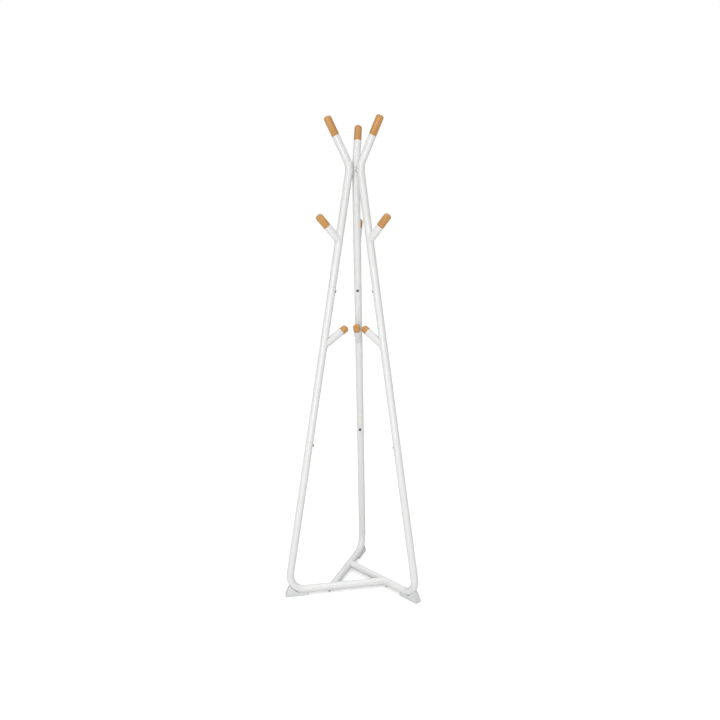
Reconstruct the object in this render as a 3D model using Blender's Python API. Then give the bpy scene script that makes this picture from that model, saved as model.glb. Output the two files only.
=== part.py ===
"""Standing coat rack: three leaning tube legs tied at the waist, with wooden tips on every peg.

Each leg is an upper tube bent outward at the waist, a straight middle tube and a lower tube that
bends into a base arm. The arm ends against the next leg's arm, so the three arms form a pinwheel
with a triangle in the middle. All three legs are alike, and are built once in the leg's own frame:
+X points away from the rack's centre line, +Z points up, and the centre line is at X = Y = 0.
"""

import math

import bmesh
import bpy
from mathutils import Matrix, Vector

# ---- the rack, in metres ------------------------------------------------------------------------

LEGS = {"left": 210.0, "right": 330.0, "back": 90.0}  # degrees about the centre line
LEG_STEP = math.radians(120.0)
CENTRE_LINE = Vector((-0.0012, -0.0679, 0.0))  # so that the origin is under the middle of the box
GAP = 0.0003  # clearance between pieces that touch

TUBE_RADIUS = 0.014
TUBE_WALL = 0.0012
BORE_RADIUS = TUBE_RADIUS - TUBE_WALL
TUBE_SIDES = 18
WAIST_BEND = 0.070  # bend radii of the tube's axis
FOOT_BEND = 0.056
ARM_HEIGHT = 0.020  # of the base arms' axis above the floor

# Corners of one leg's axis before the bends are rounded: distance from the centre line, height.
FOOT_CORNER = Vector((0.2786, 0.0, ARM_HEIGHT))
WAIST_CORNER = Vector((0.0213, 0.0, 1.5853))
TOP_END = Vector((0.1101, 0.0, 1.7500))
ARM_SWING = math.radians(12.37)  # the arm's turn away from the centre line

# ---- seams, pegs and tips -----------------------------------------------------------------------

UPPER_BOLT_HEIGHT = 1.1394
LOWER_BOLT_HEIGHT = 0.5714
BOLT_BELOW_SEAM = 0.0130
SLEEVE_RADIUS = BORE_RADIUS - GAP
SLEEVE_WALL = 0.0020
SLEEVE_ABOVE = 0.030
SLEEVE_BELOW = 0.035
SLEEVE_SIDES = 12

MID_PEG_ROOT = Vector((0.0646, 0.0, 1.3207))
MID_PEG_END = Vector((0.1460, 0.0, 1.4075))
LOW_PEG_ROOT = Vector((0.1274, 0.0, 0.9399))
LOW_PEG_END = Vector((0.0348, 0.0, 1.0040))
TOP_TIP = 0.0706  # visible length of each wooden tip
MID_TIP = 0.0516
LOW_TIP = 0.0272
TIP_SPIGOT = 0.020
TIP_ROUND = 0.0095
TIP_SIDES = 18
ROUND_STEPS = 3

# ---- fasteners ----------------------------------------------------------------------------------

BOLT_SHANK_RADIUS = 0.0030
BOLT_HEAD_RADIUS = 0.00525
LEG_BOLT_HEAD = 0.0033
LEG_BOLT_LENGTH = 0.0120
LOW_HEAD = 0.0026  # head height of the base bolts and the waist bolt
SOCKET_RADIUS = 0.0022
BOLT_SIDES = 10
HOLE_RADIUS = BOLT_SHANK_RADIUS + 0.0004
NUT_ACROSS_FLATS = 0.0100
NUT_HEIGHT = 0.0050

BASE_BOLT_OFFSET = 0.0112  # from the middle of the arms' joint, towards the foot
BASE_BOLT_LENGTH = 0.0130
RIVET_NUT_HEIGHT = 0.0100
# A bracket bent round the lower inner side of the next arm; angles are down from level.
BRACKET_THICKNESS = 0.0015
BRACKET_FROM = math.radians(20.0)
BRACKET_TO = math.radians(112.0)
BRACKET_STEPS = 6
BRACKET_PAST_BOLT = 0.0070
BRACKET_LENGTH = 0.0260
RIVET_BODY_RADIUS = 0.0044
RIVET_BULGE_RADIUS = 0.0058
RIVET_BULGE = 0.0025  # its height

WAIST_LUG_THICKNESS = 0.0020
WAIST_LUG_HALF_WIDTH = 0.0070
WAIST_LUG_HEIGHT = 1.5740  # underside of the lowest lug

# ---- feet ---------------------------------------------------------------------------------------

FOOT_HALF_WIDTH = 0.0130
# Side outline: distance along the arm from the foot corner, height.
FOOT_OUTLINE = (
    (-0.0095, 0.0000),
    (0.0770, 0.0000),
    (0.0770, 0.0120),
    (0.0360, 0.0135),
    (0.0260, 0.0205),
    (0.0140, 0.0320),
    (0.0080, 0.0395),
    (0.0050, 0.0395),
    (-0.0088, 0.0060),
)
FOOT_EDGE = 0.0008
FOOT_BAND = 0.0200  # height of the upright sides at the foot corner, above which they lean in
FOOT_BAND_FALL = 0.212  # how steeply that height falls along the arm
FOOT_TAPER = math.radians(14.0)
FOOT_SCREW_AT = 0.0620
FOOT_SCREW_RADIUS = 0.0020
FOOT_SCREW_HEAD_RADIUS = 0.0038
FOOT_SCREW_HEAD = 0.0020
FOOT_SCREW_LENGTH = 0.0110
FOOT_SCREW_SEAT = 0.0030
FOOT_SCREW_SIDES = 10

WAIST_BEND_STEPS = 5
FOOT_BEND_STEPS = 10

# ---- directions worked out from the corners -----------------------------------------------------

LEG_UP = (WAIST_CORNER - FOOT_CORNER).normalized()
LEG_LEAN = math.atan2(-LEG_UP.x, LEG_UP.z)
ARM_OUT = Vector((-math.cos(ARM_SWING), math.sin(ARM_SWING), 0.0))
ARM_JOINT = FOOT_CORNER.x * (math.cos(ARM_SWING) - math.sqrt(3.0) * math.sin(ARM_SWING))
ARM_LENGTH = FOOT_CORNER.x * (math.cos(ARM_SWING) + math.sqrt(3.0) * math.sin(ARM_SWING))
NEXT_LEG = Matrix.Rotation(LEG_STEP, 4, "Z")

# Colours are linear red, green, blue; then roughness and metallic.
FINISHES = {
    "white_steel": ((0.84, 0.84, 0.83), 0.35, 0.0),
    "beech": ((0.61, 0.33, 0.13), 0.50, 0.0),
    "foot_plastic": ((0.70, 0.70, 0.68), 0.45, 0.0),
    "bolt_steel": ((0.22, 0.21, 0.20), 0.35, 1.0),
    "plain_steel": ((0.45, 0.45, 0.46), 0.40, 1.0),
}


def on_leg(height):
    """The point of a leg's straight axis at this height."""
    return FOOT_CORNER + LEG_UP * ((height - FOOT_CORNER.z) / LEG_UP.z)


def along(start, direction):
    """A frame at start with +Z along direction and +X level with or above the horizon."""
    side = Vector((0.0, 1.0, 0.0))
    forward = direction.normalized()
    across = side.cross(forward).normalized()
    turn = Matrix((across, forward.cross(across), forward)).transposed()
    return Matrix.Translation(start) @ turn.to_4x4()


# ---- mesh helpers -------------------------------------------------------------------------------


def ring(bm, frame, radius, sides):
    """A circle of vertices about the frame's Z axis."""
    return bmesh.ops.create_circle(bm, segments=sides, radius=radius, matrix=frame)["verts"]


def skin(bm, rings):
    """Quads between each ring and the next."""
    for near, far in zip(rings, rings[1:]):
        count = len(near)
        for i in range(count):
            j = (i + 1) % count
            bm.faces.new((near[i], near[j], far[j], far[i]))


def finish_mesh(bm, name):
    """A mesh with its faces pointing out, from a bmesh that is then freed."""
    bmesh.ops.recalc_face_normals(bm, faces=bm.faces)
    mesh = bpy.data.meshes.new(name)
    bm.to_mesh(mesh)
    bm.free()
    return mesh


def turned(name, profile, sides, bored=False):
    """A piece turned about Z from (radius, height) points; a bored profile closes on itself."""
    bm = bmesh.new()
    rings = [ring(bm, Matrix.Translation((0.0, 0.0, z)), r, sides) for r, z in profile]
    if bored:
        skin(bm, rings + rings[:1])
    else:
        skin(bm, rings)
        bm.faces.new(rings[0])
        bm.faces.new(rings[-1])
    return finish_mesh(bm, name)


def stations(corners, bend, steps):
    """Frames along a path of straight runs, with each inner corner rounded to the bend radius."""
    frames = [along(corners[0], corners[1] - corners[0])]
    for before, corner, after in zip(corners, corners[1:], corners[2:]):
        way_in = (corner - before).normalized()
        way_out = (after - corner).normalized()
        turn = way_in.angle(way_out)
        axis = way_in.cross(way_out).normalized()
        arc_start = corner - way_in * (bend * math.tan(turn / 2.0))
        centre = arc_start + axis.cross(way_in) * bend
        bend_in = frames[-1].copy()
        bend_in.translation = arc_start
        for i in range(steps + 1):
            spin = Matrix.Rotation(turn * i / steps, 4, axis)
            frames.append(Matrix.Translation(centre) @ spin @ Matrix.Translation(-centre) @ bend_in)
    last = frames[-1].copy()
    last.translation = corners[-1]
    frames.append(last)
    return frames


def swept(name, corners, bend=0.0, steps=0, radius=TUBE_RADIUS, bore=BORE_RADIUS):
    """A round tube along the rounded path, or a solid bar where bore is 0."""
    bm = bmesh.new()
    frames = stations(corners, bend, steps)
    outside = [ring(bm, frame, radius, TUBE_SIDES) for frame in frames]
    if bore:
        inside = [ring(bm, frame, bore, TUBE_SIDES) for frame in frames]
        skin(bm, outside + inside[::-1] + outside[:1])
    else:
        skin(bm, outside)
        bm.faces.new(outside[0])
        bm.faces.new(outside[-1])
    return finish_mesh(bm, name)


def plate(name, outline, bottom, top):
    """A flat plate with a convex outline of (x, y) points."""
    bm = bmesh.new()
    for z in (bottom, top):
        for x, y in outline:
            bm.verts.new((x, y, z))
    bmesh.ops.convex_hull(bm, input=bm.verts)
    return finish_mesh(bm, name)


def circle_points(centre, radius, sides):
    """Points of a level circle as (x, y)."""
    angles = [math.tau * i / sides for i in range(sides)]
    return [(centre.x + radius * math.cos(a), centre.y + radius * math.sin(a)) for a in angles]


def drill(frame, radius, length, sides=BOLT_SIDES):
    """A cutting bar along the frame's +Z, from its origin."""
    mesh = turned("drill", [(radius, 0.0), (radius, length)], sides)
    mesh.transform(frame)
    return mesh


def carved(mesh, cutters):
    """The mesh left when each cutting mesh is taken out of it."""
    scratch = [bpy.data.objects.new("cutter", cutter) for cutter in cutters]
    body = bpy.data.objects.new("body", mesh)
    for thing in scratch + [body]:
        bpy.context.scene.collection.objects.link(thing)
    for cutter in scratch:
        modifier = body.modifiers.new("cut", "BOOLEAN")
        modifier.operation = "DIFFERENCE"
        modifier.solver = "EXACT"
        modifier.object = cutter
    graph = bpy.context.evaluated_depsgraph_get()
    result = bpy.data.meshes.new_from_object(body.evaluated_get(graph))
    result.name = mesh.name
    for thing in scratch + [body]:
        bpy.data.objects.remove(thing)
    return result


# ---- pieces, each in its leg's frame or its own ---------------------------------------------------


def seam_above(bolt_height):
    """Where two leg tubes meet, above the bolt that holds them."""
    return on_leg(bolt_height) + LEG_UP * BOLT_BELOW_SEAM


def inward(height):
    """A frame on a leg's axis with +Z across the leg, towards the centre line."""
    across = Vector((-LEG_UP.z, 0.0, LEG_UP.x))
    return along(on_leg(height), across)


def leg_bolt_hole(height):
    return drill(inward(height), HOLE_RADIUS, TUBE_RADIUS * 1.5)


def upper_tube():
    bottom = seam_above(UPPER_BOLT_HEIGHT) + LEG_UP * (GAP / 2.0)
    wood = (TOP_END - WAIST_CORNER).normalized() * (TOP_TIP + GAP)
    corners = (bottom, WAIST_CORNER, TOP_END - wood)
    return swept("upper_tube", corners, WAIST_BEND, WAIST_BEND_STEPS)


def middle_tube():
    bottom = seam_above(LOWER_BOLT_HEIGHT) + LEG_UP * (GAP / 2.0)
    top = seam_above(UPPER_BOLT_HEIGHT) - LEG_UP * (GAP / 2.0)
    return carved(swept("middle_tube", (bottom, top)), [leg_bolt_hole(UPPER_BOLT_HEIGHT)])


def arm_point(distance):
    """A point of this leg's arm axis, measured from the foot corner."""
    return FOOT_CORNER + ARM_OUT * distance


def base_bolt_frame(turns):
    """An upright frame on the floor under a base bolt, turns legs further round."""
    point = arm_point(ARM_JOINT - BASE_BOLT_OFFSET)
    point.z = 0.0
    return Matrix.Translation(Matrix.Rotation(LEG_STEP * turns, 3, "Z") @ point)


def foot_screw_frame():
    point = arm_point(FOOT_SCREW_AT)
    point.z = 0.0
    return Matrix.Translation(point)


def lower_tube():
    """The lowest stretch of leg, bent into the base arm that ends against the next arm."""
    top = seam_above(LOWER_BOLT_HEIGHT) - LEG_UP * (GAP / 2.0)
    corners = (top, FOOT_CORNER, arm_point(ARM_LENGTH))
    tube = swept("lower_tube", corners, FOOT_BEND, FOOT_BEND_STEPS)
    next_corner = NEXT_LEG @ FOOT_CORNER
    next_end = NEXT_LEG @ arm_point(ARM_LENGTH)
    next_arm = swept("next_arm", (next_corner, next_end), radius=TUBE_RADIUS + GAP, bore=0.0)
    rivet_hole = drill(base_bolt_frame(0), RIVET_BODY_RADIUS + GAP, ARM_HEIGHT)
    screw_hole = drill(foot_screw_frame(), FOOT_SCREW_RADIUS + GAP, ARM_HEIGHT, FOOT_SCREW_SIDES)
    bolt_hole = leg_bolt_hole(LOWER_BOLT_HEIGHT)
    return carved(tube, [next_arm, bracket_shape(GAP), bolt_hole, rivet_hole, screw_hole])


def peg_tube(name, root, end, tip):
    """A short tube with its root shaped to the leg."""
    wood = (end - root).normalized() * (tip + GAP)
    peg = swept(name, (root, end - wood))
    reach = LEG_UP * (TUBE_RADIUS * 4.0)
    leg = swept("leg", (root - reach, root + reach), radius=TUBE_RADIUS + GAP, bore=0.0)
    return carved(peg, [leg])


def tip(name, length):
    """A wooden tip: its spigot below Z = 0 fits the tube, its rounded end is at Z = length."""
    profile = [(BORE_RADIUS - GAP, -TIP_SPIGOT), (BORE_RADIUS - GAP, 0.0), (TUBE_RADIUS, 0.0)]
    for i in range(ROUND_STEPS + 1):
        angle = math.pi / 2.0 * i / ROUND_STEPS
        radius = TUBE_RADIUS - TIP_ROUND * (1.0 - math.cos(angle))
        profile.append((radius, length - TIP_ROUND * (1.0 - math.sin(angle))))
    return turned(name, profile, TIP_SIDES)


def sleeve():
    """The joining sleeve inside a seam; its bolt hole is below the seam, which is at Z = 0."""
    bore = SLEEVE_RADIUS - SLEEVE_WALL
    profile = [
        (SLEEVE_RADIUS, -SLEEVE_BELOW),
        (SLEEVE_RADIUS, SLEEVE_ABOVE),
        (bore, SLEEVE_ABOVE),
        (bore, -SLEEVE_BELOW),
    ]
    body = turned("sleeve", profile, SLEEVE_SIDES, bored=True)
    hole = along(Vector((0.0, 0.0, -BOLT_BELOW_SEAM)), Vector((-1.0, 0.0, 0.0)))
    return carved(body, [drill(hole, HOLE_RADIUS, TUBE_RADIUS)])


def bolt(name, head, length):
    """A socket button-head bolt: the head above Z = 0, the shank below."""
    profile = [
        (BOLT_SHANK_RADIUS, -length),
        (BOLT_SHANK_RADIUS, 0.0),
        (BOLT_HEAD_RADIUS, 0.0),
        (BOLT_HEAD_RADIUS, head * 0.40),
        (BOLT_HEAD_RADIUS * 0.70, head),
        (SOCKET_RADIUS, head),
        (SOCKET_RADIUS, head * 0.45),
    ]
    return turned(name, profile, BOLT_SIDES)


def arm_frame():
    """The arm's own frame: +X along it from the foot corner, +Y level towards the centre line."""
    level = Vector((-ARM_OUT.y, ARM_OUT.x, 0.0))
    turn = Matrix((ARM_OUT, level, Vector((0.0, 0.0, 1.0)))).transposed()
    return Matrix.Translation(FOOT_CORNER) @ turn.to_4x4()


def bracket_shape(spare):
    """The bracket round the next arm, grown by spare on every side."""
    inner = TUBE_RADIUS + GAP - spare
    outer = TUBE_RADIUS + GAP + BRACKET_THICKNESS + spare
    near = ARM_JOINT - BASE_BOLT_OFFSET - BRACKET_PAST_BOLT - spare
    far = near + BRACKET_LENGTH + 2.0 * spare
    first = BRACKET_FROM - spare / TUBE_RADIUS
    last = BRACKET_TO + spare / TUBE_RADIUS
    bm = bmesh.new()
    sections = []
    for i in range(BRACKET_STEPS + 1):
        angle = -(first + (last - first) * i / BRACKET_STEPS)
        way = Vector((0.0, math.cos(angle), math.sin(angle)))
        points = ((near, inner), (near, outer), (far, outer), (far, inner))
        sections.append([bm.verts.new(way * r + Vector((x, 0.0, 0.0))) for x, r in points])
    skin(bm, sections)
    bm.faces.new(sections[0])
    bm.faces.new(sections[-1])
    mesh = finish_mesh(bm, "base_bracket")
    mesh.transform(NEXT_LEG @ arm_frame())
    return mesh


def base_bracket():
    return carved(bracket_shape(0.0), [drill(base_bolt_frame(1), HOLE_RADIUS, ARM_HEIGHT)])


def rivet_nut():
    """A threaded insert in the arm's underside, with its bulge inside the tube; Z = 0 is the floor."""
    bottom = ARM_HEIGHT - math.sqrt((TUBE_RADIUS + GAP) ** 2 - RIVET_BODY_RADIUS**2) + GAP
    bulge = ARM_HEIGHT - math.sqrt(BORE_RADIUS**2 - RIVET_BULGE_RADIUS**2) + 2.0 * GAP
    top = bottom + RIVET_NUT_HEIGHT
    profile = [
        (HOLE_RADIUS, bottom),
        (RIVET_BODY_RADIUS, bottom),
        (RIVET_BODY_RADIUS, bulge),
        (RIVET_BULGE_RADIUS, bulge),
        (RIVET_BODY_RADIUS, bulge + RIVET_BULGE),
        (RIVET_BODY_RADIUS, top),
        (HOLE_RADIUS, top),
    ]
    return turned("rivet_nut", profile, BOLT_SIDES, bored=True)


def waist_lug():
    """A flat lug from an upper tube to the centre line, with its underside at Z = 0."""
    turn = LEG_UP.angle(TOP_END - WAIST_CORNER)
    bend_start = WAIST_CORNER - LEG_UP * (WAIST_BEND * math.tan(turn / 2.0))
    tube_axis = bend_start.x - WAIST_BEND * (1.0 - math.cos(LEG_LEAN))
    reach = tube_axis - TUBE_RADIUS - GAP
    half = WAIST_LUG_HALF_WIDTH
    outline = circle_points(Vector((0.0, 0.0)), half, BOLT_SIDES)
    outline += [(reach, -half), (reach, half)]
    lug = plate("waist_lug", outline, 0.0, WAIST_LUG_THICKNESS)
    below = Matrix.Translation((0.0, 0.0, -WAIST_LUG_THICKNESS))
    return carved(lug, [drill(below, HOLE_RADIUS, 3.0 * WAIST_LUG_THICKNESS)])


def weld_nut():
    """A hexagon nut with its top at Z = 0."""
    across_corners = NUT_ACROSS_FLATS / math.cos(math.pi / 6.0)
    body = turned("weld_nut", [(across_corners / 2.0, -NUT_HEIGHT), (across_corners / 2.0, 0.0)], 6)
    below = Matrix.Translation((0.0, 0.0, -2.0 * NUT_HEIGHT))
    return carved(body, [drill(below, HOLE_RADIUS, 3.0 * NUT_HEIGHT)])


def foot():
    """A wedge under the bend at the bottom of a leg, hollowed to cradle the tube."""
    bm = bmesh.new()
    side = [bm.verts.new((x, -FOOT_HALF_WIDTH, z)) for x, z in FOOT_OUTLINE]
    grown = bmesh.ops.extrude_face_region(bm, geom=[bm.faces.new(side)])["geom"]
    moved = [item for item in grown if isinstance(item, bmesh.types.BMVert)]
    bmesh.ops.translate(bm, verts=moved, vec=(0.0, 2.0 * FOOT_HALF_WIDTH, 0.0))
    bmesh.ops.recalc_face_normals(bm, faces=bm.faces)
    for way in (-1.0, 1.0):
        everything = bm.verts[:] + bm.edges[:] + bm.faces[:]
        edge = Vector((0.0, way * FOOT_HALF_WIDTH, FOOT_BAND))
        lean = math.sin(FOOT_TAPER)
        out = Vector((FOOT_BAND_FALL * lean, way * math.cos(FOOT_TAPER), lean)).normalized()
        sliced = bmesh.ops.bisect_plane(
            bm, geom=everything, plane_co=edge, plane_no=out, clear_outer=True
        )
        rim = [item for item in sliced["geom_cut"] if isinstance(item, bmesh.types.BMEdge)]
        bmesh.ops.contextual_create(bm, geom=rim)
    bmesh.ops.bevel(bm, geom=bm.edges[:], offset=FOOT_EDGE, segments=1, affect="EDGES")
    body = finish_mesh(bm, "foot")
    body.transform(Matrix.Translation((0.0, 0.0, -ARM_HEIGHT)) @ arm_frame())
    path = (on_leg(0.2), FOOT_CORNER, arm_point(ARM_JOINT))
    tube = swept("tube", path, FOOT_BEND, FOOT_BEND_STEPS, TUBE_RADIUS + GAP, bore=0.0)
    seat = foot_screw_frame()
    below = seat @ Matrix.Translation((0.0, 0.0, -FOOT_SCREW_SEAT))
    head = drill(below, FOOT_SCREW_HEAD_RADIUS + GAP, 2.0 * FOOT_SCREW_SEAT, FOOT_SCREW_SIDES)
    shank = drill(seat, FOOT_SCREW_RADIUS + GAP, ARM_HEIGHT, FOOT_SCREW_SIDES)
    return carved(body, [tube, head, shank])


def foot_screw():
    """A pan-head screw: the head below Z = 0, the shank above."""
    profile = [
        (FOOT_SCREW_HEAD_RADIUS, -FOOT_SCREW_HEAD),
        (FOOT_SCREW_HEAD_RADIUS, 0.0),
        (FOOT_SCREW_RADIUS, 0.0),
        (FOOT_SCREW_RADIUS, FOOT_SCREW_LENGTH),
    ]
    return turned("foot_screw", profile, FOOT_SCREW_SIDES)


# ---- putting it together --------------------------------------------------------------------------


def make_material(name, colour, roughness, metallic):
    material = bpy.data.materials.new(name)
    material.use_nodes = True
    shader = material.node_tree.nodes["Principled BSDF"]
    shader.inputs["Base Color"].default_value = (*colour, 1.0)
    shader.inputs["Roughness"].default_value = roughness
    shader.inputs["Metallic"].default_value = metallic
    return material


def add_empty(name, parent, matrix):
    empty = bpy.data.objects.new(name, None)
    bpy.context.scene.collection.objects.link(empty)
    empty.parent = parent
    empty.matrix_local = matrix
    return empty


def add_piece(name, mesh, finish, parent, seat):
    """One named object, standing at its seat in its parent's frame."""
    if not mesh.materials:
        mesh.materials.append(bpy.data.materials[finish])
        mesh.shade_smooth()
        mesh.set_sharp_from_angle(angle=math.radians(35.0))
    piece = bpy.data.objects.new(name, mesh)
    bpy.context.scene.collection.objects.link(piece)
    piece.parent = parent
    piece.matrix_local = seat


def seated(mesh, seat):
    """The mesh, made in its leg's frame, moved into the frame of its seat."""
    mesh.transform(seat.inverted())
    return mesh, seat


def leg_pieces():
    """Name, mesh, finish and seat of each piece that every leg has."""
    flare = TOP_END - WAIST_CORNER
    mid_way = MID_PEG_END - MID_PEG_ROOT
    low_way = LOW_PEG_END - LOW_PEG_ROOT
    upper_seam = along(seam_above(UPPER_BOLT_HEIGHT), LEG_UP)
    lower_seam = along(seam_above(LOWER_BOLT_HEIGHT), LEG_UP)
    foot_seat = Matrix.Translation(Vector((FOOT_CORNER.x, 0.0, 0.0)))
    mid_peg = peg_tube("mid_peg", MID_PEG_ROOT, MID_PEG_END, MID_TIP)
    low_peg = peg_tube("low_peg", LOW_PEG_ROOT, LOW_PEG_END, LOW_TIP)
    seam_sleeve = sleeve()
    leg_bolt = bolt("leg_bolt", LEG_BOLT_HEAD, LEG_BOLT_LENGTH)
    base_bolt = bolt("base_bolt", LOW_HEAD, BASE_BOLT_LENGTH)
    head_out = Matrix.Translation((0.0, 0.0, TUBE_RADIUS))
    bracket_bottom = ARM_HEIGHT - TUBE_RADIUS - GAP - BRACKET_THICKNESS
    head_top = Matrix.Translation((0.0, 0.0, bracket_bottom - GAP))
    head_down = head_top @ Matrix.Rotation(math.pi, 4, "X")
    screw_rest = Matrix.Translation((0.0, 0.0, FOOT_SCREW_SEAT - GAP))
    return (
        ("upper_tube", *seated(upper_tube(), upper_seam), "white_steel"),
        ("middle_tube", *seated(middle_tube(), lower_seam), "white_steel"),
        ("lower_tube", *seated(lower_tube(), foot_seat), "white_steel"),
        ("mid_peg_tube", *seated(mid_peg, along(MID_PEG_ROOT, mid_way)), "white_steel"),
        ("low_peg_tube", *seated(low_peg, along(LOW_PEG_ROOT, low_way)), "white_steel"),
        ("top_tip", tip("top_tip", TOP_TIP), tip_seat(TOP_END, flare, TOP_TIP), "beech"),
        ("mid_tip", tip("mid_tip", MID_TIP), tip_seat(MID_PEG_END, mid_way, MID_TIP), "beech"),
        ("low_tip", tip("low_tip", LOW_TIP), tip_seat(LOW_PEG_END, low_way, LOW_TIP), "beech"),
        ("upper_sleeve", seam_sleeve, upper_seam, "plain_steel"),
        ("lower_sleeve", seam_sleeve, lower_seam, "plain_steel"),
        ("upper_leg_bolt", leg_bolt, inward(UPPER_BOLT_HEIGHT) @ head_out, "bolt_steel"),
        ("lower_leg_bolt", leg_bolt, inward(LOWER_BOLT_HEIGHT) @ head_out, "bolt_steel"),
        ("foot", *seated(foot(), foot_seat), "foot_plastic"),
        ("foot_screw", foot_screw(), foot_screw_frame() @ screw_rest, "plain_steel"),
        ("base_bracket", *seated(base_bracket(), base_bolt_frame(1)), "white_steel"),
        ("base_bolt", base_bolt, base_bolt_frame(1) @ head_down, "bolt_steel"),
        ("base_rivet_nut", rivet_nut(), base_bolt_frame(1), "plain_steel"),
    )


def tip_seat(end, way, length):
    """The mouth of a tip's tube, with +Z pointing out of it."""
    return along(end - way.normalized() * length, way)


def build():
    for leftover in list(bpy.data.objects):
        bpy.data.objects.remove(leftover)
    for name, finish in FINISHES.items():
        make_material(name, *finish)

    rack = add_empty("rack", None, Matrix.Translation(CENTRE_LINE))
    pieces = leg_pieces()
    lug = waist_lug()
    lug_pitch = WAIST_LUG_THICKNESS + GAP
    for level, (side, azimuth) in enumerate(LEGS.items()):
        turn = Matrix.Rotation(math.radians(azimuth), 4, "Z")
        leg = add_empty(f"{side}_leg", rack, turn)
        for name, mesh, seat, finish in pieces:
            add_piece(f"{name}_{side}", mesh, finish, leg, seat)
        height = WAIST_LUG_HEIGHT + level * lug_pitch
        add_piece(f"waist_lug_{side}", lug, "white_steel", leg, Matrix.Translation((0, 0, height)))

    stack_top = WAIST_LUG_HEIGHT + len(LEGS) * lug_pitch
    waist_bolt = bolt("waist_bolt", LOW_HEAD, stack_top - WAIST_LUG_HEIGHT + NUT_HEIGHT)
    bolt_seat = Matrix.Translation((0.0, 0.0, stack_top))
    add_piece("waist_bolt", waist_bolt, "bolt_steel", rack, bolt_seat)
    nut_seat = Matrix.Translation((0.0, 0.0, WAIST_LUG_HEIGHT - GAP))
    add_piece("waist_weld_nut", weld_nut(), "white_steel", rack, nut_seat)


build()
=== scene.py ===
"""Finished look of the standing coat rack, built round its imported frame.

The rack has three legs of white-coated tube. All legs are alike, so each piece is modelled once in
its leg's own frame, where +X points away from the rack's centre line and +Z points up, and is then
copied to each leg. Sizes are in metres.
"""

import math

import bmesh
import bpy
from bpy.props import FloatProperty, FloatVectorProperty, IntProperty, PointerProperty
from mathutils import Matrix, Vector


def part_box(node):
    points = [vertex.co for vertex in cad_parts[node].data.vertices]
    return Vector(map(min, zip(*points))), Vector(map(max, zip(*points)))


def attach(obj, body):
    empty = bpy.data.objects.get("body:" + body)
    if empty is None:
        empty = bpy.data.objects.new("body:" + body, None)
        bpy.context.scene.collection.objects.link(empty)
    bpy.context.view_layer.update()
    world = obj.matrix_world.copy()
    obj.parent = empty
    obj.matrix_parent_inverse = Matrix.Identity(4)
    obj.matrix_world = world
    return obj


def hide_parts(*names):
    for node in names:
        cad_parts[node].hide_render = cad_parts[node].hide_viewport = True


bl_info = {
    "name": "Standing Coat Rack",
    "version": (1, 0, 0),
    "blender": (4, 5, 0),
    "location": "View3D > Sidebar > Coat Rack",
    "description": "Builds the finished pieces of a tube and beech coat rack round its frame",
    "category": "Object",
}

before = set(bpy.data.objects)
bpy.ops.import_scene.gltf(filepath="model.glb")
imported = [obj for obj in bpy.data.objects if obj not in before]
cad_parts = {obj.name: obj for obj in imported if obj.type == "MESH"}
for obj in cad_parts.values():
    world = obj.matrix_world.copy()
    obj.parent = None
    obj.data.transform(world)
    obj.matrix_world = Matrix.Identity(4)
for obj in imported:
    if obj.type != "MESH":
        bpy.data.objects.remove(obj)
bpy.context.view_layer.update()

# ---- the rack ----

LEGS = {"left": 210.0, "right": 330.0, "back": 90.0}  # degrees about the centre line
LEG_STEP = math.radians(120.0)
GAP = 0.0003  # clearance between pieces that touch
TOUCH = 0.00001  # how near a point must be to a height to count as lying at it

TUBE_RADIUS = 0.014
WAIST_BEND = 0.070
FOOT_BEND = 0.056
WAIST_BEND_STEPS = 14
FOOT_BEND_STEPS = 28
RIM_RING = 0.0120  # from a tube's sawn end to the first ring behind it
HOLE_RING = 0.0080  # from a bolt hole's centre to the rings on either side
DRILL_SIDES = 32
TOOL_SIDES = 96  # flats round a tube that is only there to cut or to aim at
ARM_HEIGHT = 0.020

FOOT_CORNER = Vector((0.2786, 0.0, ARM_HEIGHT))
WAIST_CORNER = Vector((0.0213, 0.0, 1.5853))
TOP_END = Vector((0.1101, 0.0, 1.7500))
ARM_SWING = math.radians(12.37)

UPPER_BOLT_HEIGHT = 1.1394
LOWER_BOLT_HEIGHT = 0.5714
BOLT_BELOW_SEAM = 0.0130

MID_PEG = (Vector((0.0646, 0.0, 1.3207)), Vector((0.1460, 0.0, 1.4075)))  # root, end
LOW_PEG = (Vector((0.1274, 0.0, 0.9399)), Vector((0.0348, 0.0, 1.0040)))
TOP_TIP = 0.0706
MID_TIP = 0.0516
LOW_TIP = 0.0272
TIP_SPIGOT = 0.020
TIP_ROUND = 0.0095
TIP_ROUND_SEGMENTS = 9
TIP_EDGE = 0.00035
PEG_RING = 0.040  # from a peg's root, on the leg's axis, to the ring clear of its shaped end
LEG_STUB = 0.10  # length of leg that shapes a peg's root
WELD_SPREAD = 0.25  # how far the weld's ring stands off the peg, in beads
WELD_LIFT = 0.35  # how far it stands off the leg, in beads
WELD_RIPPLE = 0.16
POINTS_PER_RIPPLE = 3.0

BOLT_SHANK_RADIUS = 0.0030
BOLT_HEAD_RADIUS = 0.00525
HOLE_RADIUS = 0.0034
LEG_BOLT_HEAD = 0.0033
LEG_BOLT_LENGTH = 0.0120
LOW_HEAD = 0.0026
BASE_BOLT_LENGTH = 0.0130
SOCKET_ACROSS = 0.0040  # width of the key socket across its flats
SOCKET_FLOOR = 0.42  # height of the socket's floor, as a part of the head
BUTTON_ROUND = 0.62  # rounding of the head, as a part of its height
BOLT_EDGE = 0.00012
SHANK_CHAMFER = 0.0004
SHANK_END = 0.87  # width of the shank's end, as a part of the shank

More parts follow.
